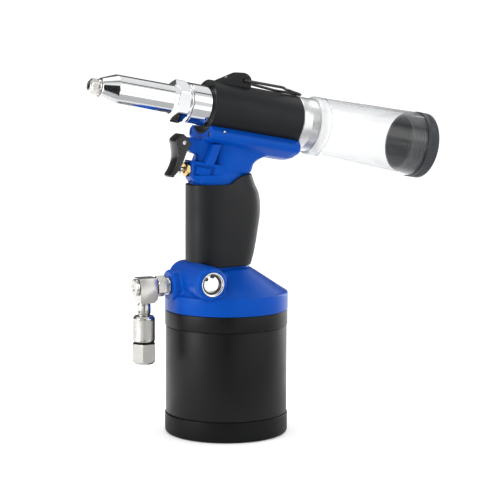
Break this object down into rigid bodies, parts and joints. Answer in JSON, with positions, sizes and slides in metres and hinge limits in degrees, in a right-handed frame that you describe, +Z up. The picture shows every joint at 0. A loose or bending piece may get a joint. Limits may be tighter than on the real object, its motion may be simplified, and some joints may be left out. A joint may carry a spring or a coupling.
{
  "type": "air-hydraulic rivet gun",
  "caption": "Pistol-shaped air-hydraulic blind rivet gun: tall air cylinder as foot, gripped handle, tilted barrel with pulling nose, clear mandrel bottle and swivel air inlet.",
  "frame": {"origin": "centre of the flat underside of the base cup", "axes": "+Z up through the handle, -X towards the nose, +X towards the mandrel bottle, -Y the side with the valve plug"},
  "size_m": [0.3009, 0.0972, 0.2835],
  "materials": {
    "rubber": "matt black",
    "grip": "matt black, fine grain",
    "blue": "blue satin paint on a casting",
    "black_plastic": "satin black",
    "chrome": "polished",
    "steel": "turned",
    "nickel": "nickel plated",
    "aluminium": "turned",
    "brass": "turned",
    "clear": "clear",
    "seal": "black nitrile",
    "wire": "black oxide wire"
  },
  "bodies": {
    "tool": {"main_body": "blue", "grip_sleeve": "grip", "base_cup": "rubber", "cylinder_sleeve": "rubber", "top_band": "rubber", "air_cylinder": "aluminium", "base_plate": "aluminium", "base_plate_ring": "steel", "ram_gland": "aluminium", "ram_seal": "seal", "trigger_pin": "steel", "trigger_valve_body": "brass", "trigger_valve_spring": "steel", "valve_bezel": "chrome", "valve_plug": "chrome", "valve_plug_ring": "steel", "valve_plug_seal": "seal", "valve_spool_spring": "steel", "inlet_adapter": "nickel", "swivel_cap": "nickel", "hydraulic_cylinder": "chrome", "shroud": "black_plastic", "lug_pin": "steel", "bleed_screw": "steel", "saddle_screw_1": "steel", "saddle_screw_2": "steel", "nose_sleeve": "chrome", "nosepiece": "nickel", "cylinder_end_cap": "steel", "return_spring": "steel", "bottle_adapter": "aluminium"},
    "trigger": {"trigger": "black_plastic"},
    "valve_stem": {"trigger_valve_stem": "nickel"},
    "valve_spool": {"main_valve_spool": "aluminium"},
    "ram": {"air_piston": "aluminium", "air_piston_seal": "seal", "ram": "chrome", "ram_nut": "steel"},
    "pulling_head": {"pull_piston": "steel", "pull_piston_seal": "seal", "jaw_case": "steel", "jaw_spring": "steel"},
    "jaw_pusher": {"jaw_pusher": "brass"},
    "jaw_1": {"jaw_1": "steel"},
    "jaw_2": {"jaw_2": "steel"},
    "jaw_3": {"jaw_3": "steel"},
    "hanger": {"hanger": "wire"},
    "swivel": {"swivel_block": "nickel", "outlet_stub": "nickel"},
    "hose_coupling": {"hose_coupling": "nickel", "knurled_sleeve": "nickel", "sleeve_seal": "seal"},
    "bottle": {"bottle": "clear"},
    "bottle_cap": {"bottle_cap": "black_plastic"}
  },
  "joints": [
    {"name": "trigger_hinge", "type": "hinge", "parent": "tool", "child": "trigger", "pos_m": [-0.0397, 0, 0.2303], "axis": [0, -1, 0], "range_deg": [0, 10]},
    {"name": "valve_stem_slide", "type": "slide", "parent": "tool", "child": "valve_stem", "axis": [1, 0, 0], "range_m": [0, 0.00357], "stiffness_N_per_m": 500, "springref_m": -0.003, "deforming": ["trigger_valve_spring"]},
    {"name": "valve_spool_slide", "type": "slide", "parent": "tool", "child": "valve_spool", "axis": [0, 1, 0], "range_m": [0, 0.004], "deforming": ["valve_spool_spring"]},
    {"name": "ram_slide", "type": "slide", "parent": "tool", "child": "ram", "axis": [0, 0, 1], "range_m": [0, 0.0495]},
    {"name": "pull_slide", "type": "slide", "parent": "tool", "child": "pulling_head", "axis": [0.9842, 0, -0.1771], "range_m": [0, 0.018], "stiffness_N_per_m": 1500, "springref_m": -0.004, "deforming": ["return_spring"]},
    {"name": "jaw_pusher_slide", "type": "slide", "parent": "pulling_head", "child": "jaw_pusher", "axis": [0.9842, 0, -0.1771], "range_m": [0, 0.00196], "stiffness_N_per_m": 800, "springref_m": -0.003, "deforming": ["jaw_spring"]},
    {"name": "jaw_1_slide", "type": "slide", "parent": "pulling_head", "child": "jaw_1", "axis": [0.9995, 0, 0.0331], "range_m": [0, 0.0021]},
    {"name": "jaw_2_slide", "type": "slide", "parent": "pulling_head", "child": "jaw_2", "axis": [0.9438, 0.1815, -0.2763], "range_m": [0, 0.0021]},
    {"name": "jaw_3_slide", "type": "slide", "parent": "pulling_head", "child": "jaw_3", "axis": [0.9438, -0.1815, -0.2763], "range_m": [0, 0.0021]},
    {"name": "hanger_hinge", "type": "hinge", "parent": "tool", "child": "hanger", "pos_m": [0.01179, 0, 0.27708], "axis": [0, -1, 0], "range_deg": [0, 160]},
    {"name": "inlet_swivel", "type": "hinge", "parent": "tool", "child": "swivel", "pos_m": [-0.0704, 0, 0.1194], "axis": [1, 0, 0], "continuous": true},
    {"name": "coupling_spin", "type": "hinge", "parent": "swivel", "child": "hose_coupling", "pos_m": [-0.071, 0, 0.08], "axis": [0, 0, 1], "continuous": true},
    {"name": "bottle_thread", "type": "hinge", "parent": "tool", "child": "bottle", "pos_m": [0.1181, 0, 0.23265], "axis": [0.9842, 0, -0.1771], "continuous": true},
    {"name": "cap_thread", "type": "hinge", "parent": "bottle", "child": "bottle_cap", "pos_m": [0.16928, 0, 0.22344], "axis": [0.9842, 0, -0.1771], "continuous": true}
  ],
  "couplings": [
    {"joint": "trigger_hinge", "follows": "valve_stem_slide", "rad_per_m": 48.8},
    {"joint": "valve_spool_slide", "follows": "valve_stem_slide", "ratio": 1.12},
    {"joint": "pull_slide", "follows": "ram_slide", "ratio": 0.3631},
    {"joint": "jaw_1_slide", "follows": "jaw_pusher_slide", "ratio": 1.0227},
    {"joint": "jaw_2_slide", "follows": "jaw_pusher_slide", "ratio": 1.0227},
    {"joint": "jaw_3_slide", "follows": "jaw_pusher_slide", "ratio": 1.0227}
  ]
}
